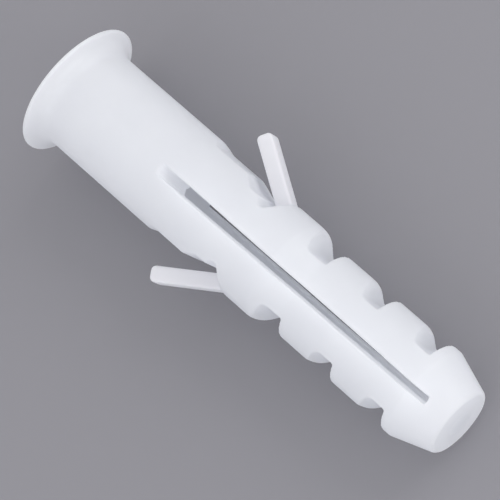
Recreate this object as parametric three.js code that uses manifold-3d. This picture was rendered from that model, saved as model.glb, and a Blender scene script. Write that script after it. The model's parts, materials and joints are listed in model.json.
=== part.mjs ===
// Collared expansion wall plug, nominal 10 mm, in millimetres, +Z up.
//
// X is the plug's axis: x = 0 is the collar's outer face, flush with the wall, and the tip points to +X.
// The expansion slot lies in the XZ plane, so the two legs and the two anti-rotation wings are on +Y and -Y.
// The plug is one moulding that works by bending. It is divided here where it bends: at the root of the slot,
// in the three grooves of each leg and at the foot of each wing. Each stretch between two bends is a solid.

import * as THREE from 'three';
import { mergeVertices } from 'three/addons/utils/BufferGeometryUtils.js';
import Module from 'manifold-3d';

// ---- Driving dimensions ----

// Overall
const BARREL_RADIUS = 5; // fits a 10 mm hole
const OVERALL_LENGTH = 47.4; // a longer plug has a longer barrel, and the same legs

// Collar
const COLLAR_OVERHANG = 1.6; // beyond the barrel
const COLLAR_RIM = 0.45; // thickness at the edge
const FLARE_LENGTH = 1.55; // from the rim to where the flare has run out into the barrel
const COLLAR_EDGE_BREAK = 0.12; // chamfer on the collar's outer edge

// Screw bore, blind
const ENTRY_RADIUS = 3.1;
const ENTRY_CHAMFER = 0.4; // lead-in at the mouth
const ENTRY_DEPTH = 16; // where the bore starts to narrow
const BORE_END_RADIUS = 1.2;
const BORE_TIP_WALL = 2.2; // solid material between the bore and the tip's face
const LEAST_WALL = 0.35; // between the bore and the floor of the dip or of a groove

// Expansion slot, right through along Z
const SLOT_WIDTH_HEAD = 1.1; // at the barrel
const SLOT_WIDTH_TIP = 0.75; // at its closed end in the nose
const SLOT_TIP_WALL = 2.25; // solid material between the slot and the tip's face

// Room left in the solids
const HINGE_GAP = 0.3; // at each bend
const TIP_GAP = 0.3; // between the two halves of the nose, past the slot

// Neck, from the barrel to the first tooth: lengths along the axis, depths below the barrel's surface
const ROOT_SETBACK = 0.6; // root of the legs to the first flat
const STEP_ONE_RUN = 0.9;
const STEP_ONE_DEPTH = 0.5;
const WIDE_LENGTH = 3.7;
const STEP_TWO_RUN = 1.6;
const STEP_TWO_DEPTH = 1.25;
const NARROW_LENGTH = 1.1;
const DIP_RUN = 0.6;
const DIP_DEPTH = 1.85;
const DIP_LENGTH = 0.5;
const NECK_JOINT_SETBACK = 0.2; // the neck ends this far before the shoulder's foot

// Teeth
const SHOULDER_RUN = 1.15; // the slanted head face of the first tooth, which carries the wing
const FIRST_PITCH = 6.45; // first tooth to second
const TOOTH_PITCH = 6.2; // second tooth to third, and third to nose
const CREST_LENGTH = 2.85; // the flat land on top of each tooth
const FALL_RUN = 1.95; // land to groove floor, along the axis
const GROOVE_DEPTH = 2.0; // groove floor below the barrel's surface
const TOOTH_DROP = 0.5; // second and third crests below the barrel's surface

// Nose
const NOSE_DROP = 0.35; // its crest below the barrel's surface
const NOSE_LAND = 0.8;
const NOSE_TAPER = 4.0;
const TIP_RADIUS = 3.35;
const TIP_EDGE_BREAK = 0.2;

// Wings
const WING_LENGTH = 7.1;
const WING_THICKNESS = 1.5;
const WING_WIDTH = 1.9; // along Z
const WING_ANGLE = THREE.MathUtils.degToRad(32); // off the axis, opening towards the head
const WING_CORNER = 0.45; // radius at the free end
const WING_FOOT_SHARE = 0.52; // how far up the slanted face the wing's middle stands

// Fineness
const ROUND_SIDES = 48;
const CURVE_STEPS = 5;
const OVERSHOOT = 1; // how far a cutting or trimming solid runs past what it cuts

// ---- Places that follow from them: stations on the axis, and heights above it ----

const noseStart = OVERALL_LENGTH - NOSE_TAPER - NOSE_LAND;
const thirdToothStart = noseStart - TOOTH_PITCH;
const secondToothStart = thirdToothStart - TOOTH_PITCH;
const firstCrestStart = secondToothStart - FIRST_PITCH;
const shoulderFoot = firstCrestStart - SHOULDER_RUN;
const neckEnd = shoulderFoot - NECK_JOINT_SETBACK;
const dipStart = shoulderFoot - DIP_LENGTH - DIP_RUN;
const stepTwoStart = dipStart - NARROW_LENGTH - STEP_TWO_RUN;
const stepOneStart = stepTwoStart - WIDE_LENGTH - STEP_ONE_RUN;
const legStart = stepOneStart - ROOT_SETBACK;
const barrelEnd = legStart - HINGE_GAP;
const collarDepth = COLLAR_RIM + FLARE_LENGTH;
const boreDepth = OVERALL_LENGTH - BORE_TIP_WALL;
const slotEnd = OVERALL_LENGTH - SLOT_TIP_WALL;

const collarRadius = BARREL_RADIUS + COLLAR_OVERHANG;
const stepOneHeight = BARREL_RADIUS - STEP_ONE_DEPTH;
const stepTwoHeight = BARREL_RADIUS - STEP_TWO_DEPTH;
const dipFloorStart = shoulderFoot - DIP_LENGTH;
const grooveFloorStart = firstCrestStart + CREST_LENGTH + FALL_RUN;
const dipHeight = Math.max(BARREL_RADIUS - DIP_DEPTH, boreRadius(dipFloorStart) + LEAST_WALL);
const grooveHeight = Math.max(BARREL_RADIUS - GROOVE_DEPTH, boreRadius(grooveFloorStart) + LEAST_WALL);
const toothRadius = BARREL_RADIUS - TOOTH_DROP;
const noseRadius = BARREL_RADIUS - NOSE_DROP;

/** The bore's radius at a place on the axis where it narrows. */
function boreRadius(x) {
  const taperEnd = boreDepth - BORE_END_RADIUS;
  const share = (x - ENTRY_DEPTH) / (taperEnd - ENTRY_DEPTH);
  return THREE.MathUtils.lerp(ENTRY_RADIUS, BORE_END_RADIUS, share);
}

const wasm = await Module();
wasm.setup();

// ---- From three.js geometry to a solid and back ----

/** Turns a closed geometry into a solid, leaving out the flat triangles at a lathe's poles. */
function toSolid(geometry) {
  const bare = geometry.clone();
  bare.deleteAttribute('normal');
  bare.deleteAttribute('uv');
  const merged = mergeVertices(bare, 1e-5);
  const corners = merged.index.array;
  const kept = [];
  for (let i = 0; i < corners.length; i += 3) {
    const [a, b, c] = corners.slice(i, i + 3);
    if (a !== b && b !== c && c !== a) {
      kept.push(a, b, c);
    }
  }
  const mesh = new wasm.Mesh({
    numProp: 3,
    vertProperties: new Float32Array(merged.attributes.position.array),
    triVerts: new Uint32Array(kept),
  });
  return new wasm.Manifold(mesh);
}

/** Turns a solid back into a geometry with flat-shaded faces. */
function toGeometry(solid) {
  const mesh = solid.getMesh();
  const geometry = new THREE.BufferGeometry();
  geometry.setAttribute('position', new THREE.BufferAttribute(new Float32Array(mesh.vertProperties), 3));
  geometry.setIndex(new THREE.BufferAttribute(new Uint32Array(mesh.triVerts), 1));
  geometry.computeVertexNormals();
  return geometry;
}

/** Turns a profile about the plug's axis. Each point is [x along the axis, radius]. */
function turned(profile) {
  const points = profile.map(([x, radius]) => new THREE.Vector2(radius, x));
  const geometry = new THREE.LatheGeometry(points, ROUND_SIDES);
  geometry.rotateZ(-Math.PI / 2);
  return toSolid(geometry);
}

/** Extrudes an outline in the XY plane evenly to both sides of that plane. */
function plate(shape, width) {
  const geometry = new THREE.ExtrudeGeometry(shape, {
    depth: width,
    bevelEnabled: false,
    curveSegments: CURVE_STEPS,
  });
  geometry.translate(0, 0, -width / 2);
  return toSolid(geometry);
}

/** Everything between two planes across the axis. */
function slab(from, to) {
  const reach = 2 * (collarRadius + OVERSHOOT);
  const geometry = new THREE.BoxGeometry(to - from, reach, reach);
  geometry.translate((from + to) / 2, 0, 0);
  return toSolid(geometry);
}

/** The plug's material: milky, slightly cool, unfilled nylon. */
function nylon(color) {
  return new THREE.MeshStandardMaterial({ color, roughness: 0.42, metalness: 0 });
}

/** A named sub-part. */
function part(name, geometry, color) {
  const mesh = new THREE.Mesh(geometry, nylon(color));
  mesh.name = name;
  return mesh;
}

// ---- The screw bore ----

const bore = turned([
  [-OVERSHOOT, 0],
  [-OVERSHOOT, ENTRY_RADIUS + ENTRY_CHAMFER + OVERSHOOT],
  [ENTRY_CHAMFER, ENTRY_RADIUS],
  [ENTRY_DEPTH, ENTRY_RADIUS],
  [boreDepth - BORE_END_RADIUS, BORE_END_RADIUS],
  [boreDepth, 0],
]);

// ---- The head: collar and closed barrel ----

/** The flare between the collar's rim and the barrel, a hollow curve like a trumpet's mouth. */
function flarePoints() {
  const rim = new THREE.Vector2(COLLAR_RIM, collarRadius - COLLAR_EDGE_BREAK);
  const knee = new THREE.Vector2(COLLAR_RIM * 1.6, BARREL_RADIUS + COLLAR_EDGE_BREAK);
  const barrel = new THREE.Vector2(collarDepth, BARREL_RADIUS);
  const curve = new THREE.QuadraticBezierCurve(rim, knee, barrel);
  return curve.getPoints(CURVE_STEPS).map((point) => [point.x, point.y]);
}

function makeCollarFlange() {
  const blank = turned([
    [0, 0],
    [0, collarRadius - COLLAR_EDGE_BREAK],
    [COLLAR_EDGE_BREAK, collarRadius],
    [COLLAR_RIM - COLLAR_EDGE_BREAK, collarRadius],
    ...flarePoints(),
    [collarDepth, 0],
  ]);
  return toGeometry(blank.subtract(bore));
}

function makeBarrelSleeve() {
  const blank = turned([
    [collarDepth, 0],
    [collarDepth, BARREL_RADIUS],
    [barrelEnd, BARREL_RADIUS],
    [barrelEnd, 0],
  ]);
  return toGeometry(blank.subtract(bore));
}

// ---- The legs: a round envelope, notched on its two sides ----

/** The round outside of the legs and the nose before the notches are cut. */
const legEnvelope = turned([
  [legStart, 0],
  [legStart, BARREL_RADIUS],
  [firstCrestStart + CREST_LENGTH, BARREL_RADIUS],
  [secondToothStart, toothRadius],
  [thirdToothStart + CREST_LENGTH, toothRadius],
  [noseStart, noseRadius],
  [noseStart + NOSE_LAND, noseRadius],
  [OVERALL_LENGTH - TIP_EDGE_BREAK, TIP_RADIUS],
  [OVERALL_LENGTH, TIP_RADIUS - TIP_EDGE_BREAK],
  [OVERALL_LENGTH, 0],
]);

/** Half the slot's width at a place on the axis. */
function slotHalf(x) {
  const share = (x - barrelEnd) / (slotEnd - barrelEnd);
  return THREE.MathUtils.lerp(SLOT_WIDTH_HEAD, SLOT_WIDTH_TIP, share) / 2;
}

/** Adds one tooth to a leg's outline: its land, its rounded fall and the floor of the groove behind it. */
function addTooth(outline, side, crestStart, radius, nextFace) {
  const crestEnd = crestStart + CREST_LENGTH;
  const fall = radius - grooveHeight;
  outline.lineTo(crestStart, side * (radius + OVERSHOOT));
  outline.lineTo(crestEnd, side * (radius + OVERSHOOT));
  outline.lineTo(crestEnd, side * radius);
  outline.quadraticCurveTo(
    crestEnd + 0.35 * FALL_RUN,
    side * radius,
    crestEnd + 0.5 * FALL_RUN,
    side * (radius - 0.45 * fall),
  );
  outline.quadraticCurveTo(
    crestEnd + 0.7 * FALL_RUN,
    side * grooveHeight,
    crestEnd + FALL_RUN,
    side * grooveHeight,
  );
  outline.lineTo(nextFace, side * grooveHeight);
}

/** One leg's side view, from the root of the slot to the tip. side is +1 for +Y and -1 for -Y. */
function legOutline(side) {
  const clearOf = BARREL_RADIUS + OVERSHOOT;
  const outline = new THREE.Shape();
  outline.moveTo(legStart, side * slotHalf(legStart));
  outline.lineTo(legStart, side * clearOf);
  outline.lineTo(stepOneStart, side * clearOf);
  outline.lineTo(stepOneStart, side * BARREL_RADIUS);
  outline.lineTo(stepOneStart + STEP_ONE_RUN, side * stepOneHeight);
  outline.lineTo(stepTwoStart, side * stepOneHeight);
  outline.lineTo(stepTwoStart + STEP_TWO_RUN, side * stepTwoHeight);
  outline.lineTo(dipStart, side * stepTwoHeight);
  outline.lineTo(dipStart + DIP_RUN, side * dipHeight);
  outline.lineTo(shoulderFoot, side * dipHeight);
  outline.lineTo(firstCrestStart, side * BARREL_RADIUS);
  addTooth(outline, side, firstCrestStart, BARREL_RADIUS, secondToothStart);
  addTooth(outline, side, secondToothStart, toothRadius, thirdToothStart);
  addTooth(outline, side, thirdToothStart, toothRadius, noseStart);
  outline.lineTo(noseStart, side * clearOf);
  outline.lineTo(OVERALL_LENGTH + OVERSHOOT, side * clearOf);
  outline.lineTo(OVERALL_LENGTH + OVERSHOOT, (side * TIP_GAP) / 2);
  outline.lineTo(slotEnd, (side * TIP_GAP) / 2);
  outline.lineTo(slotEnd, side * slotHalf(slotEnd));
  outline.closePath();
  return outline;
}

/** One whole leg as a solid, ready to be divided at its bends. */
function makeLeg(side) {
  const notched = plate(legOutline(side), 2 * (BARREL_RADIUS + OVERSHOOT));
  return notched.intersect(legEnvelope).subtract(bore);
}

/** The stretches that a leg is divided into, with the planes where each one starts and ends. */
const LEG_STRETCHES = [
  { name: 'neck', from: legStart, to: neckEnd },
  { name: 'first_tooth', from: neckEnd, to: secondToothStart - HINGE_GAP },
  { name: 'second_tooth', from: secondToothStart, to: thirdToothStart - HINGE_GAP },
  { name: 'third_tooth', from: thirdToothStart, to: noseStart - HINGE_GAP },
  { name: 'nose_half', from: noseStart, to: OVERALL_LENGTH },
];

// ---- The wings ----

/** A wing's side view, lying along +X from its foot, with a rounded free end. */
function wingOutline() {
  const half = WING_THICKNESS / 2;
  const outline = new THREE.Shape();
  outline.moveTo(HINGE_GAP, -half);
  outline.lineTo(WING_LENGTH - WING_CORNER, -half);
  outline.absarc(WING_LENGTH - WING_CORNER, -half + WING_CORNER, WING_CORNER, -Math.PI / 2, 0, false);
  outline.absarc(WING_LENGTH - WING_CORNER, half - WING_CORNER, WING_CORNER, 0, Math.PI / 2, false);
  outline.lineTo(HINGE_GAP, half);
  outline.closePath();
  return outline;
}

/** Places one wing on the slanted face of the first tooth, square to that face's middle. */
function placeWing(mesh, side) {
  const footX = THREE.MathUtils.lerp(shoulderFoot, firstCrestStart, WING_FOOT_SHARE);
  const footY = THREE.MathUtils.lerp(dipHeight, BARREL_RADIUS, WING_FOOT_SHARE);
  mesh.position.set(footX, side * footY, 0);
  mesh.rotation.z = side * (Math.PI - WING_ANGLE);
}

// ---- Assembly ----

const HEAD_COLOR = 0xdfe3ea;
const LEG_COLOR = 0xe5e8ee;
const WING_COLOR = 0xdddfe8;

const plug = new THREE.Group();
plug.name = 'wall_plug';

const head = new THREE.Group();
head.add(part('collar_flange', makeCollarFlange(), HEAD_COLOR));
head.add(part('barrel_sleeve', makeBarrelSleeve(), HEAD_COLOR));
plug.add(head);

for (const { label, side } of [{ label: 'a', side: 1 }, { label: 'b', side: -1 }]) {
  const leg = new THREE.Group();
  const whole = makeLeg(side);
  for (const { name, from, to } of LEG_STRETCHES) {
    const stretch = whole.intersect(slab(from, to));
    leg.add(part(`${name}_${label}`, toGeometry(stretch), LEG_COLOR));
  }
  const wing = part(`wing_${label}`, toGeometry(plate(wingOutline(), WING_WIDTH)), WING_COLOR);
  placeWing(wing, side);
  leg.add(wing);
  plug.add(leg);
}

export default plug;
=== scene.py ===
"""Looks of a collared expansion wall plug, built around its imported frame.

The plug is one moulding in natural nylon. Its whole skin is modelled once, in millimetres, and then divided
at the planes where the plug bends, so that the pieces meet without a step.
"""

import json
import logging
import math
from dataclasses import dataclass
from enum import Enum
from itertools import pairwise
from typing import Callable, Sequence

import bmesh
import bpy
from mathutils import Matrix, Vector

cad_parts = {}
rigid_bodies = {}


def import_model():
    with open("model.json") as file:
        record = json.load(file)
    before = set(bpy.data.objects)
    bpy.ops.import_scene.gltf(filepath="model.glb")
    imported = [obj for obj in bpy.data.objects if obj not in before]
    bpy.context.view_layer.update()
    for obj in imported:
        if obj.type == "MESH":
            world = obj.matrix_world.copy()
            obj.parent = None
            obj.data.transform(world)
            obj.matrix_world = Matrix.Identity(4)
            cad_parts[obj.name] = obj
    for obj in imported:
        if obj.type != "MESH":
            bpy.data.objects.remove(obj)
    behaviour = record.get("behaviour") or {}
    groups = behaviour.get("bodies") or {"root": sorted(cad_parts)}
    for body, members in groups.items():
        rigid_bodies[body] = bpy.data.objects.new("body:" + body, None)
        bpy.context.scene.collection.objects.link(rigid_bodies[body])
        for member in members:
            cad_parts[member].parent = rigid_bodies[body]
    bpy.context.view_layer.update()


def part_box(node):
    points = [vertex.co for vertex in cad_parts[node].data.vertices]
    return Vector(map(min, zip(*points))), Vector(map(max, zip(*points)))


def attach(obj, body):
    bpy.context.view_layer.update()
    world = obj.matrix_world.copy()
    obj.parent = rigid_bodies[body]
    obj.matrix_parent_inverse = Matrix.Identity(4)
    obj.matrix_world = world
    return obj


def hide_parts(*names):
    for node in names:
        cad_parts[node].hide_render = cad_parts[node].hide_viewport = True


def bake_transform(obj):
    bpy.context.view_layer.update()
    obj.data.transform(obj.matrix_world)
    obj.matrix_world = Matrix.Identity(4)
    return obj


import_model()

log = logging.getLogger("wall_plug")

METRES_PER_MM = 0.001
CLEAR = 8.0  # mm from the axis, outside the whole plug
ROUND_SIDES = 144
MOULD_VOXEL = 0.1  # mm, the grain of the skin
SOFTENING = 6  # passes that round the moulded edges
SHARP = math.radians(40)
INNER_MARGIN = 0.05  # mm
JOINT_MARGIN = 0.0005  # mm
WING_GRIP = 0.72  # of the bar's section each way from its middle, so that the whole of its skin counts
CUT_SETBACK = 0.1  # mm, so that a cut never lies in an upright face
LIGHT_BOUNCES = 14  # milky nylon passes light on many times before it comes out

Point = tuple[float, float]
Skin = bpy.types.Object


# ---- Small tools -----------------------------------------------------------------------------------------


class Side(Enum):
    """Which leg of the plug a piece belongs to; the value is the sign of Y."""

    A = 1
    B = -1

    @property
    def tag(self) -> str:
        """The letter that this leg's nodes and bodies carry."""
        return self.name.lower()


class Cut(Enum):
    """How one solid is combined with another."""

    REMOVE = "DIFFERENCE"
    JOIN = "UNION"


class Keep(Enum):
    """Which part is kept when a skin is cut across the axis."""

    HEAD_SIDE = "towards the head"
    TIP_SIDE = "towards the tip"


def only(piece: Skin) -> None:
    """Makes a piece the one selected and active object."""
    bpy.ops.object.select_all(action="DESELECT")
    piece.select_set(True)
    bpy.context.view_layer.objects.active = piece


def edit(piece: Skin, mode: str = "VERT") -> None:
    """Opens a piece in edit mode with nothing selected.

    Args:
        piece: The piece to open.
        mode: What is to be selected: VERT, EDGE or FACE.
    """
    only(piece)
    bpy.ops.object.mode_set(mode="EDIT")
    bpy.ops.mesh.select_mode(type=mode)
    bpy.ops.mesh.select_all(action="DESELECT")


def leave() -> None:
    """Goes back to object mode."""
    bpy.ops.object.mode_set(mode="OBJECT")


def face_outwards() -> None:
    """Turns every face of the open piece outwards."""
    bpy.ops.mesh.select_all(action="SELECT")
    bpy.ops.mesh.normals_make_consistent(inside=False)


def pick_faces(piece: Skin, test: Callable[[Vector], bool]) -> int:
    """Selects the faces of the open piece whose middle passes a test.

    Args:
        piece: The piece that is open in edit mode, picking faces.
        test: Takes the place of a face's middle.

    Returns:
        How many faces were selected.
    """
    mesh = bmesh.from_edit_mesh(piece.data)
    count = 0
    for face in mesh.faces:
        chosen = test(face.calc_center_median())
        face.select_set(chosen)
        count += chosen
    bmesh.update_edit_mesh(piece.data)
    return count


def pick_verts(piece: Skin, test: Callable[[Vector], bool]) -> None:
    """Selects the points of the open piece that pass a test.

    Args:
        piece: The piece that is open in edit mode, picking points.
        test: Takes a point's place.
    """
    mesh = bmesh.from_edit_mesh(piece.data)
    for vert in mesh.verts:
        vert.select_set(test(vert.co))
    mesh.select_flush(True)
    bmesh.update_edit_mesh(piece.data)


def close_openings() -> None:
    """Closes every open edge loop of the open piece with a flat face."""
    bpy.ops.mesh.select_mode(type="EDGE")
    bpy.ops.mesh.select_all(action="DESELECT")
    bpy.ops.mesh.select_non_manifold(
        extend=False, use_wire=False, use_boundary=True, use_multi_face=False, use_non_contiguous=False
    )
    bpy.ops.mesh.edge_face_add()


def apply_modifier(piece: Skin, name: str, kind: str, **settings: object) -> None:
    """Adds a modifier and applies it at once.

    Args:
        piece: The piece to change.
        name: The modifier's name.
        kind: Blender's name for the kind of modifier.
        **settings: Its settings.
    """
    only(piece)
    modifier = piece.modifiers.new(name, kind)
    for key, value in settings.items():
        setattr(modifier, key, value)
    bpy.ops.object.modifier_apply(modifier=modifier.name)


def combine(piece: Skin, tool: Skin, cut: Cut) -> None:
    """Joins a solid to a piece, or removes it from the piece, and uses the solid up.

    Args:
        piece: The piece that is kept.
        tool: The solid that is joined or removed.
        cut: Which of the two is done.
    """
    apply_modifier(piece, "combine", "BOOLEAN", object=tool, operation=cut.value, solver="EXACT")
    bpy.data.objects.remove(tool)


def copied(piece: Skin, name: str) -> Skin:
    """Copies a piece, with its own mesh.

    Args:
        piece: What is copied.
        name: The copy's name.

    Returns:
        The copy.
    """
    twin = piece.copy()
    twin.data = piece.data.copy()
    twin.name = name
    bpy.context.collection.objects.link(twin)
    return twin


def mirrored(piece: Skin, name: str) -> Skin:
    """Copies a solid to the other side of the XZ plane.

    Args:
        piece: What is copied.
        name: The copy's name.

    Returns:
        The copy.
    """
    twin = copied(piece, name)
    edit(twin)
    bpy.ops.mesh.select_all(action="SELECT")
    bpy.ops.transform.mirror(constraint_axis=(False, True, False), center_override=(0, 0, 0))
    face_outwards()
    leave()
    return twin


def turned(name: str, profile: Sequence[Point]) -> Skin:
    """Turns a solid about the plug's axis by drawing a disc out along it.

    Args:
        name: The solid's name.
        profile: Points of station and radius along the axis, with no radius at zero.

    Returns:
        The closed solid.
    """
    station, radius = profile[0]
    bpy.ops.object.select_all(action="DESELECT")
    bpy.ops.mesh.primitive_circle_add(
        vertices=ROUND_SIDES,
        radius=radius,
        fill_type="NGON",
        location=(station, 0, 0),
        rotation=(0, math.pi / 2, 0),
    )
    piece = bpy.context.object
    piece.name = name
    bpy.ops.object.transform_apply(location=True, rotation=True, scale=True)
    edit(piece, "FACE")
    bpy.ops.mesh.select_all(action="SELECT")
    for (near, near_radius), (far, far_radius) in pairwise(profile):
        bpy.ops.mesh.extrude_region_move(TRANSFORM_OT_translate={"value": (far - near, 0, 0)})
        share = far_radius / near_radius
        bpy.ops.transform.resize(value=(1, share, share), center_override=(far, 0, 0))
    face_outwards()
    leave()
    return piece


def plate(name: str, outline: Sequence[Point], half_width: float) -> Skin:
    """Draws an outline in the XY plane point by point, and extrudes it evenly to both sides of that plane.

    Args:
        name: The solid's name.
        outline: The outline's corners in order.
        half_width: How far the plate reaches on each side.

    Returns:
        The closed solid.
    """
    bpy.ops.object.select_all(action="DESELECT")
    bpy.ops.mesh.primitive_plane_add(size=1, location=(0, 0, 0))
    piece = bpy.context.object
    piece.name = name
    edit(piece)
    bpy.ops.mesh.select_all(action="SELECT")
    bpy.ops.mesh.merge(type="CENTER")
    bpy.ops.mesh.select_all(action="SELECT")
    bpy.ops.transform.translate(value=(*outline[0], -half_width))
    for (x, y), (next_x, next_y) in pairwise(outline):
        bpy.ops.mesh.extrude_region_move(TRANSFORM_OT_translate={"value": (next_x - x, next_y - y, 0)})
    bpy.ops.mesh.select_all(action="SELECT")
    bpy.ops.mesh.edge_face_add()
    bpy.ops.mesh.extrude_region_move(TRANSFORM_OT_translate={"value": (0, 0, 2 * half_width)})
    face_outwards()
    leave()
    return piece


def bend(start: Point, control: Point, end: Point, steps: int = 6) -> list[Point]:
    """Points of the smooth bend from start to end that leans towards control, without the first one.

    Args:
        start: Where the bend leaves from.
        control: The corner that it rounds.
        end: Where it arrives.
        steps: How many straight stretches stand for it.

    Returns:
        The points, ending with end.
    """
    points = []
    for i in range(1, steps + 1):
        t = i / steps
        weights = ((1 - t) ** 2, 2 * t * (1 - t), t * t)
        x = weights[0] * start[0] + weights[1] * control[0] + weights[2] * end[0]
        y = weights[0] * start[1] + weights[1] * control[1] + weights[2] * end[1]
        points.append((x, y))
    return points


# ---- Where things are, from the frame --------------------------------------------------------------------


@dataclass(frozen=True)
class Stations:
    """Places along the plug's axis in millimetres, measured from the collar's outer face, and two radii."""

    collar_end: float
    leg_start: float
    neck_end: float
    second_tooth: float
    third_tooth: float
    nose: float
    tip: float
    barrel_radius: float
    collar_radius: float

    @classmethod
    def from_frame(cls) -> "Stations":
        """Reads the places off the frame's nodes at rest."""

        def low(node: str) -> Vector:
            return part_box(node)[0] / METRES_PER_MM

        def high(node: str) -> Vector:
            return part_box(node)[1] / METRES_PER_MM

        return cls(
            collar_end=high("collar_flange").x,
            leg_start=low("neck_a").x,
            neck_end=high("neck_a").x,
            second_tooth=low("second_tooth_a").x,
            third_tooth=low("third_tooth_a").x,
            nose=low("nose_half_a").x,
            tip=high("nose_half_a").x,
            barrel_radius=high("barrel_sleeve").z,
            collar_radius=high("collar_flange").z,
        )


# ---- The plug's parts ------------------------------------------------------------------------------------


@dataclass(frozen=True)
class Collar:
    """The thin round collar that stops the plug at the wall, flaring into the barrel."""

    at: Stations
    rim: float = 0.45
    edge_break: float = 0.12

    def profile(self) -> list[Point]:
        """The collar's outside, from its outer face to the barrel."""
        edge = self.at.collar_radius - self.edge_break
        foot = (self.rim, edge)
        knee = (self.rim * 1.6, self.at.barrel_radius + self.edge_break)
        return [
            (0.0, edge),
            (self.edge_break, self.at.collar_radius),
            (self.rim - self.edge_break, self.at.collar_radius),
            foot,
            *bend(foot, knee, (self.at.collar_end, self.at.barrel_radius), steps=8),
        ]


@dataclass(frozen=True)
class ScrewBore:
    """The blind hole for the screw: straight through the barrel, then narrowing down the legs."""

    at: Stations
    entry_radius: float = 3.1
    entry_chamfer: float = 0.4
    entry_depth: float = 16.0
    end_radius: float = 1.2
    tip_wall: float = 2.2
    point_radius: float = 0.15

    def radius_at(self, x: float) -> float:
        """The bore's radius at a station."""
        taper_end = self.at.tip - self.tip_wall - self.end_radius
        share = min(1.0, max(0.0, (x - self.entry_depth) / (taper_end - self.entry_depth)))
        return self.entry_radius + (self.end_radius - self.entry_radius) * share

    def cutter(self) -> Skin:
        """The solid that is removed for the bore."""
        depth = self.at.tip - self.tip_wall
        profile = [
            (-1.0, self.entry_radius + self.entry_chamfer + 1.0),
            (self.entry_chamfer, self.entry_radius),
            (self.entry_depth, self.entry_radius),
            (depth - self.end_radius, self.end_radius),
            (depth, self.point_radius),
        ]
        return turned("bore_cutter", profile)


@dataclass(frozen=True)
class ExpansionSlot:
    """The slot that divides the two legs, with a ramped run-out and a square end in the nose."""

    at: Stations
    width_head: float = 1.1
    width_tip: float = 0.75
    tip_wall: float = 2.25
    ramp_top: Point = (13.1, 5.05)
    ramp_foot: Point = (16.0, 3.05)

    def half_width_at(self, x: float) -> float:
        """Half the slot's width at a station between its ramp and its end."""
        share = (x - self.ramp_foot[0]) / (self.at.tip - self.tip_wall - self.ramp_foot[0])
        return (self.width_head + (self.width_tip - self.width_head) * share) / 2

    def cutter(self) -> Skin:
        """The solid that is removed for the slot."""
        end = self.at.tip - self.tip_wall
        foot_x, foot_z = self.ramp_foot
        top_x, top_z = self.ramp_top
        slope = (foot_x - top_x) / (top_z - foot_z)
        rise_x = top_x - slope * (CLEAR - top_z)
        outline = [
            (rise_x, CLEAR),
            (foot_x, foot_z),
            (foot_x, -foot_z),
            (rise_x, -CLEAR),
            (end, -CLEAR),
            (end, CLEAR),
        ]
        piece = plate("slot_cutter", outline, self.width_head / 2)
        edit(piece)
        bpy.ops.mesh.select_all(action="SELECT")
        bpy.ops.transform.rotate(value=math.pi / 2, orient_axis="X", center_override=(0, 0, 0))
        pick_verts(piece, lambda place: place.x > end - 0.01)
        taper = self.width_tip / self.width_head
        bpy.ops.transform.resize(value=(1, taper, 1), center_override=(end, 0, 0))
        leave()
        return piece


@dataclass(frozen=True)
class Neck:
    """The stretch between barrel and first tooth, let down in two steps and a dip under the wing's foot."""

    at: Stations
    root_setback: float = 0.6
    step_one_run: float = 0.9
    step_one_depth: float = 0.5
    wide_length: float = 3.7
    step_two_run: float = 1.6
    step_two_depth: float = 1.25
    narrow_length: float = 1.1
    dip_run: float = 0.6
    dip_depth: float = 1.85
    joint_setback: float = 0.2
    shoulder_run: float = 1.15

    @property
    def dip_height(self) -> float:
        """The height of the dip's floor above the axis."""
        return self.at.barrel_radius - self.dip_depth

    @property
    def shoulder_foot(self) -> Point:
        """Where the slanted face of the first tooth starts."""
        return (self.at.neck_end + self.joint_setback, self.dip_height)

    @property
    def shoulder_top(self) -> Point:
        """Where the slanted face of the first tooth ends."""
        return (self.shoulder_foot[0] + self.shoulder_run, self.at.barrel_radius)

    def cutter(self) -> Skin:
        """The solid that is removed above the neck on the +Y side."""
        radius = self.at.barrel_radius
        one = radius - self.step_one_depth
        two = radius - self.step_two_depth
        outline = [(self.at.leg_start + self.root_setback, radius)]
        x = outline[0][0] + self.step_one_run
        outline.append((x, one))
        x += self.wide_length
        outline.append((x, one))
        x += self.step_two_run
        outline.append((x, two))
        x += self.narrow_length
        outline.append((x, two))
        x += self.dip_run
        outline.append((x, self.dip_height))
        outline.append(self.shoulder_foot)
        outline.append(self.shoulder_top)
        outline.append((self.shoulder_top[0], CLEAR))
        outline.append((outline[0][0], CLEAR))
        return plate("neck_cutter", outline, CLEAR)


@dataclass(frozen=True)
class Tooth:
    """One barb: a flat land, a rounded fall and the groove behind it, up to the next upright face."""

    at: Stations
    name: str
    start: float
    next_face: float
    drop: float
    crest_length: float = 2.85
    fall_run: float = 1.95
    groove_depth: float = 2.0

    @property
    def radius(self) -> float:
        """The height of the land above the axis."""
        return self.at.barrel_radius - self.drop

    @property
    def land_end(self) -> float:
        """Where the land ends and the fall begins."""
        return self.start + self.crest_length

    @property
    def bend_start(self) -> float:
        """Where the thin web at the foot of the groove begins to give."""
        return self.land_end + self.fall_run + 0.25

    def cutter(self) -> Skin:
        """The solid that is removed behind the land on the +Y side."""
        floor = self.at.barrel_radius - self.groove_depth
        fall = self.radius - floor
        run = self.fall_run
        crest = (self.land_end, self.radius)
        middle = (self.land_end + 0.5 * run, self.radius - 0.45 * fall)
        foot = (self.land_end + run, floor)
        outline = [
            crest,
            *bend(crest, (self.land_end + 0.35 * run, self.radius), middle),
            *bend(middle, (self.land_end + 0.7 * run, floor), foot),
            (self.next_face, floor),
            (self.next_face, CLEAR),
            (self.land_end, CLEAR),
        ]
        return plate(f"{self.name}_cutter", outline, CLEAR)


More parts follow.
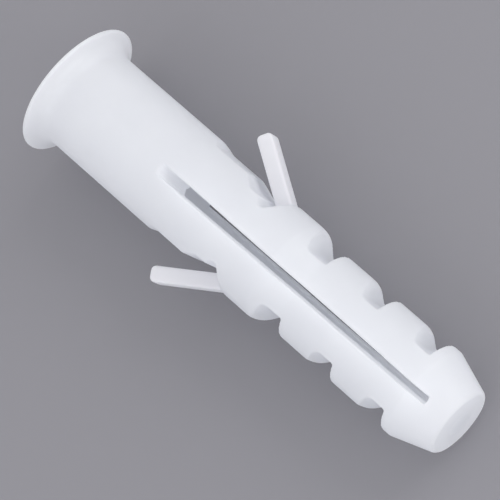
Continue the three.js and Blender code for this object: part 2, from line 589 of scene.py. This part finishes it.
@dataclass(frozen=True)
class Nose:
    """The tapered tip, where the two legs are one."""

    at: Stations
    drop: float = 0.35
    land: float = 0.8
    tip_radius: float = 3.35
    edge_break: float = 0.2

    def profile(self) -> list[Point]:
        """The nose's outside, from its upright face to the tip's flat end."""
        radius = self.at.barrel_radius - self.drop
        return [
            (self.at.nose, radius),
            (self.at.nose + self.land, radius),
            (self.at.tip - self.edge_break, self.tip_radius),
            (self.at.tip, self.tip_radius - self.edge_break),
        ]


@dataclass(frozen=True)
class Wing:
    """A springy bar that stands off the first tooth's slanted face and keeps the plug from turning."""

    neck: Neck
    length: float = 7.1
    thickness: float = 1.5
    width: float = 1.9
    angle: float = math.radians(32)
    foot_share: float = 0.52
    corner: float = 0.45
    edge: float = 0.16
    sunk: float = 0.35
    parting: float = 0.3
    bend_end: float = 1.5

    @property
    def foot(self) -> Vector:
        """Where the +Y wing's middle line meets the slanted face."""
        (x0, y0), (x1, y1) = self.neck.shoulder_foot, self.neck.shoulder_top
        return Vector((x0 + (x1 - x0) * self.foot_share, y0 + (y1 - y0) * self.foot_share, 0))

    @property
    def along(self) -> Vector:
        """The way the +Y wing points."""
        return Vector((-math.cos(self.angle), math.sin(self.angle), 0))

    def place(self, distance: float, side: Side) -> Vector:
        """The point on a wing's middle line at a distance from its foot.

        Args:
            distance: Millimetres from the foot.
            side: Which wing.

        Returns:
            The point, in millimetres.
        """
        point = self.foot + self.along * distance
        return Vector((point.x, point.y * side.value, 0))

    def bar(self) -> Skin:
        """The +Y wing as a solid, sunk a little into the tooth."""
        bpy.ops.object.select_all(action="DESELECT")
        bpy.ops.mesh.primitive_cube_add(size=1, location=((self.length - self.sunk) / 2, 0, 0))
        piece = bpy.context.object
        piece.name = "wing_bar"
        piece.scale = (self.length + self.sunk, self.thickness, self.width)
        bpy.ops.object.transform_apply(location=True, rotation=True, scale=True)
        edit(piece, "EDGE")
        mesh = bmesh.from_edit_mesh(piece.data)
        for line in mesh.edges:
            line.select_set(all(end.co.x > self.length - 0.01 for end in line.verts) and
                            abs(line.verts[0].co.z - line.verts[1].co.z) > 0.1)
        bmesh.update_edit_mesh(piece.data)
        bpy.ops.mesh.bevel(offset=self.corner, segments=6, affect="EDGES")
        mesh = bmesh.from_edit_mesh(piece.data)
        for line in mesh.edges:
            flat = abs(line.verts[0].co.z - line.verts[1].co.z) < 0.01
            line.select_set(flat and all(abs(end.co.z) > self.width / 2 - 0.01 for end in line.verts))
        bmesh.update_edit_mesh(piece.data)
        bpy.ops.mesh.bevel(offset=self.edge, segments=2, affect="EDGES")
        face_outwards()
        leave()
        piece.matrix_world = Matrix.Translation(self.foot) @ Matrix.Rotation(math.pi - self.angle, 4, "Z")
        only(piece)
        bpy.ops.object.transform_apply(location=True, rotation=True, scale=True)
        return piece

    def reach(self, point: Vector, side: Side) -> tuple[float, float, float]:
        """How far a point lies along a wing, above its middle line and to its side.

        Args:
            point: A place in millimetres.
            side: Which wing.

        Returns:
            Distances along, across and sideways.
        """
        from_foot = Vector((point.x, point.y * side.value, point.z)) - self.foot
        across = Vector((self.along.y, -self.along.x, 0))
        return from_foot.dot(self.along), from_foot.dot(across), from_foot.z

    def holds(self, point: Vector, side: Side) -> bool:
        """True for a point of the wing that stands clear of the tooth."""
        along, across, aside = self.reach(point, side)
        within_bar = abs(across) < self.thickness * WING_GRIP and abs(aside) < self.width * WING_GRIP
        return along > 0 and within_bar


# ---- The whole skin, and its pieces ----------------------------------------------------------------------


@dataclass(frozen=True)
class Plug:
    """The whole plug: how its skin is made and where it is divided."""

    at: Stations
    collar: Collar
    bore: ScrewBore
    slot: ExpansionSlot
    neck: Neck
    teeth: tuple[Tooth, Tooth, Tooth]
    nose: Nose
    wing: Wing
    neck_bend: tuple[float, float] = (16.2, 18.8)

    @property
    def cuts(self) -> dict[str, float]:
        """The stations where the skin is divided: each stretch starts at its own."""
        return {
            "barrel": self.at.collar_end,
            "neck": self.neck_bend[0],
            "first_tooth": self.at.neck_end,
            "second_tooth": self.at.second_tooth - CUT_SETBACK,
            "third_tooth": self.at.third_tooth - CUT_SETBACK,
            "nose": self.at.nose - CUT_SETBACK,
        }

    def is_joint(self, point: Vector) -> bool:
        """True for a point on a face where two stretches of the moulding pass into each other."""
        wing = self.wing
        for side in Side:
            beyond = wing.reach(point, side)[0] - wing.parting
            if wing.holds(point, side) and beyond > -JOINT_MARGIN:
                # A wing leans across the stations of the cuts, so only its own parting counts.
                return beyond < JOINT_MARGIN
        return any(abs(point.x - station) < JOINT_MARGIN for station in self.cuts.values())

    @classmethod
    def from_frame(cls) -> "Plug":
        """Lays the plug out on the frame's stations."""
        at = Stations.from_frame()
        neck = Neck(at)
        teeth = (
            Tooth(at, "first_tooth", neck.shoulder_top[0], at.second_tooth, 0.0),
            Tooth(at, "second_tooth", at.second_tooth, at.third_tooth, 0.5),
            Tooth(at, "third_tooth", at.third_tooth, at.nose, 0.5),
        )
        return cls(at, Collar(at), ScrewBore(at), ExpansionSlot(at), neck, teeth, Nose(at), Wing(neck))

    def envelope(self) -> Skin:
        """The plug's round outside before anything is cut from it."""
        first, _, third = self.teeth
        profile = [
            *self.collar.profile(),
            (first.land_end, first.radius),
            (self.at.second_tooth, third.radius),
            (third.land_end, third.radius),
            *self.nose.profile(),
        ]
        return turned("skin", profile)

    def skin(self) -> Skin:
        """The whole moulding as one closed skin with softened edges."""
        skin = self.envelope()
        for part in (self.neck, *self.teeth):
            cutter = part.cutter()
            other = mirrored(cutter, f"{cutter.name}_b")
            combine(skin, cutter, Cut.REMOVE)
            combine(skin, other, Cut.REMOVE)
        combine(skin, self.bore.cutter(), Cut.REMOVE)
        combine(skin, self.slot.cutter(), Cut.REMOVE)
        bar = self.wing.bar()
        other = mirrored(bar, "wing_bar_b")
        combine(skin, bar, Cut.JOIN)
        combine(skin, other, Cut.JOIN)
        apply_modifier(skin, "grain", "REMESH", mode="VOXEL", voxel_size=MOULD_VOXEL)
        apply_modifier(skin, "soft_edges", "SMOOTH", factor=0.5, iterations=SOFTENING)
        log.info("skin: %d faces", len(skin.data.polygons))
        return skin

    def is_inside(self, point: Vector) -> bool:
        """True for a point on the wall of the bore or of the slot."""
        in_bore = math.hypot(point.y, point.z) < self.bore.radius_at(point.x) + INNER_MARGIN
        along_slot = self.slot.ramp_foot[0] < point.x < self.at.tip - self.slot.tip_wall
        in_slot = along_slot and abs(point.y) < self.slot.half_width_at(point.x) + INNER_MARGIN
        return in_bore or in_slot

    def take_wing(self, skin: Skin, side: Side) -> Skin:
        """Parts one wing from the skin just clear of the tooth.

        Args:
            skin: The skin that the wing is taken from.
            side: Which wing.

        Returns:
            The wing as a closed piece.
        """
        wing = self.wing
        edit(skin, "FACE")
        pick_faces(skin, lambda middle: wing.holds(middle, side))
        across = Vector((wing.along.x, wing.along.y * side.value, 0))
        bpy.ops.mesh.bisect(plane_co=wing.place(wing.parting, side), plane_no=across)
        bpy.ops.mesh.select_mode(type="FACE")
        pick_faces(
            skin,
            lambda middle: wing.holds(middle, side) and wing.reach(middle, side)[0] > wing.parting,
        )
        before = set(bpy.data.objects)
        bpy.ops.mesh.separate(type="SELECTED")
        close_openings()
        leave()
        piece = (set(bpy.data.objects) - before).pop()
        edit(piece, "EDGE")
        close_openings()
        leave()
        return piece

    def part_off(self, skin: Skin, stretch: str) -> Skin:
        """Cuts off what lies beyond the start of a stretch.

        Args:
            skin: The skin that is shortened.
            stretch: The stretch's name.

        Returns:
            What was cut off, as a closed piece.
        """
        station = self.cuts[stretch]
        piece = copied(skin, stretch)
        for part, keep in ((piece, Keep.TIP_SIDE), (skin, Keep.HEAD_SIDE)):
            edit(part)
            bpy.ops.mesh.select_all(action="SELECT")
            bpy.ops.mesh.bisect(
                plane_co=(station, 0, 0),
                plane_no=(1, 0, 0),
                use_fill=True,
                clear_inner=keep is Keep.TIP_SIDE,
                clear_outer=keep is Keep.HEAD_SIDE,
            )
            leave()
        return piece

    def leg_pieces(self, both: Skin, name: str) -> dict[Side, Skin]:
        """Divides a stretch of the two legs into one piece for each leg.

        Args:
            both: The stretch, with the two legs apart at the slot.
            name: The name that both pieces start with.

        Returns:
            The two pieces.
        """
        pieces = {Side.A: copied(both, f"{name}_a_skin"), Side.B: both}
        both.name = f"{name}_b_skin"
        for side, piece in pieces.items():
            edit(piece, "FACE")
            pick_faces(piece, lambda middle, sign=side.value: middle.y * sign < 0)
            bpy.ops.mesh.delete(type="FACE")
            leave()
        return pieces


# ---- Finishes --------------------------------------------------------------------------------------------


@dataclass(frozen=True)
class Nylon:
    """A finish of natural, unfilled nylon 6. Lengths are in millimetres."""

    name: str
    slot: str
    colour: str
    cloud: str
    roughness: float = 0.36
    sheen_spread: float = 0.07
    cloud_size: float = 4.0
    grain_size: float = 0.22
    grain_height: float = 0.004
    flow_size: float = 1.6
    flow_height: float = 0.012
    light_share: float = 0.55


HEAD = Nylon("natural nylon 6, collar and barrel", "head_nylon", "#F6F7F9", "#F1F2F5")
LEG = Nylon("natural nylon 6, legs", "leg_nylon", "#F6F7F9", "#F1F2F5")
# Painted light: the wings are a slightly brighter copy of the nylon, standing in for light glowing through
# the thin bars.
PAINTED_GLOW_WING = Nylon("natural nylon 6, wings", "wing_nylon", "#F9F9FB", "#F4F4F7")
# Painted light: the bore and slot walls get a brighter colour and a larger translucent share than the
# outside. This stands in for the light that the nylon passes through its own walls into the slot and bore.
PAINTED_LIGHT_LINING = Nylon("natural nylon 6, bore and slot walls", "leg_nylon", "#FAFBFC", "#F7F8FA", light_share=0.85)
Palette = dict[Nylon | None, bpy.types.Material]


def linear(hex_code: str) -> tuple[float, float, float, float]:
    """Turns an sRGB hex colour into the linear colour that the shader takes.

    Args:
        hex_code: Six hex digits after a #.

    Returns:
        Red, green, blue and alpha.
    """
    channels = [int(hex_code[i : i + 2], 16) / 255 for i in (1, 3, 5)]
    bent = [c / 12.92 if c <= 0.04045 else ((c + 0.055) / 1.055) ** 2.4 for c in channels]
    return (*bent, 1.0)


def per_metre(size_mm: float) -> float:
    """The texture scale whose features are a given size.

    Args:
        size_mm: The features' size in millimetres.

    Returns:
        How many of them fit in a metre.
    """
    return 1 / (size_mm * METRES_PER_MM)


def add_node(
    tree: bpy.types.NodeTree, kind: str, sockets: dict[str | int, object], **settings: object
) -> bpy.types.Node:
    """Adds a shader node.

    Args:
        tree: The material's node tree.
        kind: The node's type.
        sockets: Values for its inputs. An output socket of another node is linked instead.
        **settings: The node's own settings.

    Returns:
        The node.
    """
    made = tree.nodes.new(kind)
    for key, value in settings.items():
        setattr(made, key, value)
    for name, value in sockets.items():
        if isinstance(value, bpy.types.NodeSocket):
            tree.links.new(value, made.inputs[name])
        else:
            made.inputs[name].default_value = value
    return made


def nylon_material(finish: Nylon) -> bpy.types.Material:
    """Natural nylon 6 as moulded: milky, a little cloudy, with a fine tool texture and faint flow lines.

    Args:
        finish: The colours and sizes.

    Returns:
        The material.
    """
    material = bpy.data.materials.new(finish.name)
    material.use_nodes = True
    tree = material.node_tree
    tree.nodes.clear()
    place = add_node(tree, "ShaderNodeTexCoord", {}).outputs["Object"]
    cloud = add_node(
        tree,
        "ShaderNodeTexNoise",
        {"Vector": place, "Scale": per_metre(finish.cloud_size), "Detail": 2.0, "Roughness": 0.5},
    )
    tint = add_node(tree, "ShaderNodeMix", {"Factor": cloud.outputs["Fac"]}, data_type="RGBA")
    colour_sockets = [socket for socket in tint.inputs if socket.type == "RGBA"]
    colour_sockets[0].default_value = linear(finish.colour)
    colour_sockets[1].default_value = linear(finish.cloud)
    tinted = next(socket for socket in tint.outputs if socket.type == "RGBA")
    shine = add_node(
        tree,
        "ShaderNodeMapRange",
        {
            "Value": cloud.outputs["Fac"],
            "From Min": 0.3,
            "From Max": 0.7,
            "To Min": finish.roughness - finish.sheen_spread,
            "To Max": finish.roughness + finish.sheen_spread,
        },
    )
    flow_place = add_node(
        tree,
        "ShaderNodeMapping",
        {"Vector": place, "Scale": (0.3, 1.0, 1.0)},
    )
    flow = add_node(
        tree,
        "ShaderNodeTexNoise",
        {"Vector": flow_place.outputs["Vector"], "Scale": per_metre(finish.flow_size), "Detail": 1.0},
    )
    grain = add_node(
        tree,
        "ShaderNodeTexNoise",
        {"Vector": place, "Scale": per_metre(finish.grain_size), "Detail": 2.0},
    )
    waves = add_node(
        tree,
        "ShaderNodeBump",
        {"Strength": 1.0, "Distance": finish.flow_height * METRES_PER_MM, "Height": flow.outputs["Fac"]},
    )
    relief = add_node(
        tree,
        "ShaderNodeBump",
        {
            "Strength": 1.0,
            "Distance": finish.grain_height * METRES_PER_MM,
            "Height": grain.outputs["Fac"],
            "Normal": waves.outputs["Normal"],
        },
    )
    surface = add_node(
        tree,
        "ShaderNodeBsdfPrincipled",
        {
            "Base Color": tinted,
            "Roughness": shine.outputs["Result"],
            "IOR": 1.53,
            "Normal": relief.outputs["Normal"],
        },
    )
    through = add_node(
        tree, "ShaderNodeBsdfTranslucent", {"Color": tinted, "Normal": relief.outputs["Normal"]}
    )
    milky = add_node(
        tree,
        "ShaderNodeMixShader",
        {0: finish.light_share, 1: surface.outputs["BSDF"], 2: through.outputs["BSDF"]},
    )
    add_node(tree, "ShaderNodeOutputMaterial", {"Surface": milky.outputs["Shader"]})
    return material


# ---- Finishing the pieces, and binding the head and nose to the frame ------------------------------------


def clear_material() -> bpy.types.Material:
    """No surface at all, for the inner faces where two stretches of the moulding meet."""
    material = bpy.data.materials.new("inside one moulding, no surface")
    material.use_nodes = True
    tree = material.node_tree
    tree.nodes.clear()
    nothing = add_node(tree, "ShaderNodeBsdfTransparent", {})
    add_node(tree, "ShaderNodeOutputMaterial", {"Surface": nothing.outputs["BSDF"]})
    return material


def face_material(piece: Skin, material: bpy.types.Material, test: Callable[[Vector], bool]) -> None:
    """Gives some of a piece's faces another material.

    Args:
        piece: The piece, in millimetres, with its outer material.
        material: The material of the chosen faces.
        test: Takes the place of a face's middle and says if it is one of them.
    """
    edit(piece, "FACE")
    if pick_faces(piece, test):
        piece.data.materials.append(material)
        piece.active_material_index = len(piece.data.materials) - 1
        bpy.ops.object.material_slot_assign()
    leave()


def finish_piece(piece: Skin, name: str, finish: Nylon, palette: Palette, plug: Plug) -> None:
    """Brings a piece to metres at the origin and gives it its finish.

    Args:
        piece: The piece, in millimetres.
        name: Its name.
        finish: Its outer finish.
        palette: The materials of the finishes.
        plug: The plug's layout.
    """
    piece.name = name
    piece.data.materials.clear()
    piece.data.materials.append(palette[finish])
    # The bore and slot walls take painted light: a brighter, more translucent copy of the nylon.
    if finish is not PAINTED_GLOW_WING:
        face_material(piece, palette[PAINTED_LIGHT_LINING], plug.is_inside)
    face_material(piece, palette[None], plug.is_joint)
    edit(piece)
    face_outwards()
    leave()
    piece.scale = (METRES_PER_MM,) * 3
    only(piece)
    bpy.ops.object.transform_apply(location=True, rotation=True, scale=True)
    bpy.ops.object.shade_smooth_by_angle(angle=SHARP)
    log.info("%s: %d triangles", name, sum(len(face.vertices) - 2 for face in piece.data.polygons))


def build_plug(plug: Plug) -> None:
    """Makes every piece of the plug, ties the collar, barrel and nose to their bodies, and hides the frame's
    parts that the pieces stand for.

    Args:
        plug: The plug's layout.
    """
    palette: Palette = {finish: nylon_material(finish) for finish in (HEAD, LEG, PAINTED_GLOW_WING, PAINTED_LIGHT_LINING)}
    palette[None] = clear_material()
    skin = plug.skin()
    wing_pieces = {side: plug.take_wing(skin, side) for side in Side}
    nose = plug.part_off(skin, "nose")
    third = plug.leg_pieces(plug.part_off(skin, "third_tooth"), "third_tooth")
    second = plug.leg_pieces(plug.part_off(skin, "second_tooth"), "second_tooth")
    first = plug.leg_pieces(plug.part_off(skin, "first_tooth"), "first_tooth")
    neck = plug.leg_pieces(plug.part_off(skin, "neck"), "neck")
    barrel = plug.part_off(skin, "barrel")

    head = ((skin, "collar_skin", "collar_flange"), (barrel, "barrel_skin", "barrel_sleeve"))
    for piece, name, node in head:
        finish_piece(piece, name, HEAD, palette, plug)
        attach(piece, "head")
        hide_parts(node)
    finish_piece(nose, "nose_skin", LEG, palette, plug)
    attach(nose, "nose_a")
    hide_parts("nose_half_a", "nose_half_b")
    for side in Side:
        tag = side.tag
        rear, middle, front = (f"leg_{tag}_{place}" for place in ("rear", "middle", "front"))
        tooth_one, tooth_two, tooth_three = plug.teeth
        start, end = plug.neck_bend
        chain = (
            (neck[side], "neck", "head", rear, start, end),
            (first[side], "first_tooth", rear, middle, tooth_one.bend_start, plug.cuts["second_tooth"]),
            (second[side], "second_tooth", middle, front, tooth_two.bend_start, plug.cuts["third_tooth"]),
            (third[side], "third_tooth", front, f"nose_{tag}", tooth_three.bend_start, plug.cuts["nose"]),
        )
        for piece, name, near_body, far_body, bend_start, bend_end in chain:
            finish_piece(piece, f"{name}_{tag}_skin", LEG, palette, plug)
            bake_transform(piece)
            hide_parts(f"{name}_{tag}")
        piece = wing_pieces[side]
        finish_piece(piece, f"wing_{tag}_skin", PAINTED_GLOW_WING, palette, plug)
        root = plug.wing.place(plug.wing.parting, side)
        free = plug.wing.place(plug.wing.bend_end, side)
        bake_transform(piece)
        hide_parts(f"wing_{tag}")


# ---- Floor, light and camera -----------------------------------------------------------------------------


@dataclass(frozen=True)
class Studio:
    """The pale floor that the plug lies on, the soft lights and the camera. Lengths are in metres."""

    floor_size: float = 1.6
    floor_roughness: float = 0.9
    floor_colour: str = "#86858A"
    collar_contact: Point = (0.0002, -0.00662)
    nose_contact: Point = (0.0432, -0.00467)
    aim: tuple[float, float, float] = (0.02274, -0.00063, 0.0)
    sight: tuple[float, float, float] = (0.36, 0.09, 0.928)
    across_share: float = 0.752
    along_share: float = 0.659
    distance: float = 0.3
    lens: float = 248.0
    world: str = "#FDFDFF"
    world_strength: float = 0.95

    def lay_floor(self) -> None:
        """Adds the floor, touching the collar's rim and the nose."""
        (x0, z0), (x1, z1) = self.collar_contact, self.nose_contact
        tilt = math.atan2(z1 - z0, x1 - x0)
        bpy.ops.object.select_all(action="DESELECT")
        bpy.ops.mesh.primitive_plane_add(size=self.floor_size, location=(x0, 0, z0), rotation=(0, -tilt, 0))
        floor = bpy.context.object
        floor.name = "floor"
        material = bpy.data.materials.new("pale matt board")
        material.use_nodes = True
        tree = material.node_tree
        tree.nodes.clear()
        surface = add_node(
            tree,
            "ShaderNodeBsdfPrincipled",
            {"Base Color": linear(self.floor_colour), "Roughness": self.floor_roughness},
        )
        add_node(tree, "ShaderNodeOutputMaterial", {"Surface": surface.outputs["BSDF"]})
        floor.data.materials.append(material)

    def hang_light(
        self, name: str, place: tuple[float, float, float], size: float, watts: float, tint: str
    ) -> None:
        """Adds a square soft light that faces the plug.

        Args:
            name: The light's name.
            place: Where it hangs.
            size: Its side.
            watts: Its power.
            tint: Its colour.
        """
        lamp = bpy.data.lights.new(name, "AREA")
        lamp.shape = "SQUARE"
        lamp.size = size
        lamp.energy = watts
        lamp.color = linear(tint)[:3]
        holder = bpy.data.objects.new(name, lamp)
        bpy.context.collection.objects.link(holder)
        toward = Vector(self.aim) - Vector(place)
        holder.matrix_world = Matrix.Translation(place) @ toward.to_track_quat("-Z", "Y").to_matrix().to_4x4()

    def light(self) -> None:
        """Adds the lights and the room's glow."""
        self.hang_light("key", (0.06, 0.30, 0.20), 0.2, 0.36, "#FFFFFF")
        self.hang_light("fill", (0.10, -0.30, 0.22), 0.3, 0.3, "#F8F9FF")
        self.hang_light("rim", (0.30, 0.10, 0.07), 0.16, 0.26, "#FFFFFF")
        world = bpy.data.worlds.new("studio")
        world.use_nodes = True
        glow = world.node_tree.nodes["Background"]
        glow.inputs["Color"].default_value = linear(self.world)
        glow.inputs["Strength"].default_value = self.world_strength
        bpy.context.scene.world = world

    def set_camera(self) -> None:
        """Adds the camera."""
        back = Vector(self.sight).normalized()
        axis = (Vector((1, 0, 0)) - back * back.x).normalized()
        side = back.cross(axis)
        right = axis * self.across_share + side * self.along_share
        up = back.cross(right)
        place = Vector(self.aim) + back * self.distance
        turn = Matrix((right, up, back)).transposed()
        camera = bpy.data.objects.new("camera", bpy.data.cameras.new("camera"))
        camera.data.sensor_width = 36.0
        camera.data.lens = self.lens
        camera.data.clip_start = 0.01
        bpy.context.collection.objects.link(camera)
        camera.matrix_world = Matrix.Translation(place) @ turn.to_4x4()
        bpy.context.scene.camera = camera


def main() -> None:
    """Builds the plug, the stage, the lights and the camera."""
    logging.basicConfig(level=logging.INFO, format="%(name)s: %(message)s")
    build_plug(Plug.from_frame())
    studio = Studio()
    studio.lay_floor()
    studio.light()
    studio.set_camera()
    scene = bpy.context.scene
    scene.view_settings.view_transform = "Standard"
    scene.cycles.max_bounces = LIGHT_BOUNCES
    scene.cycles.diffuse_bounces = LIGHT_BOUNCES


if __name__ == "__main__":
    main()
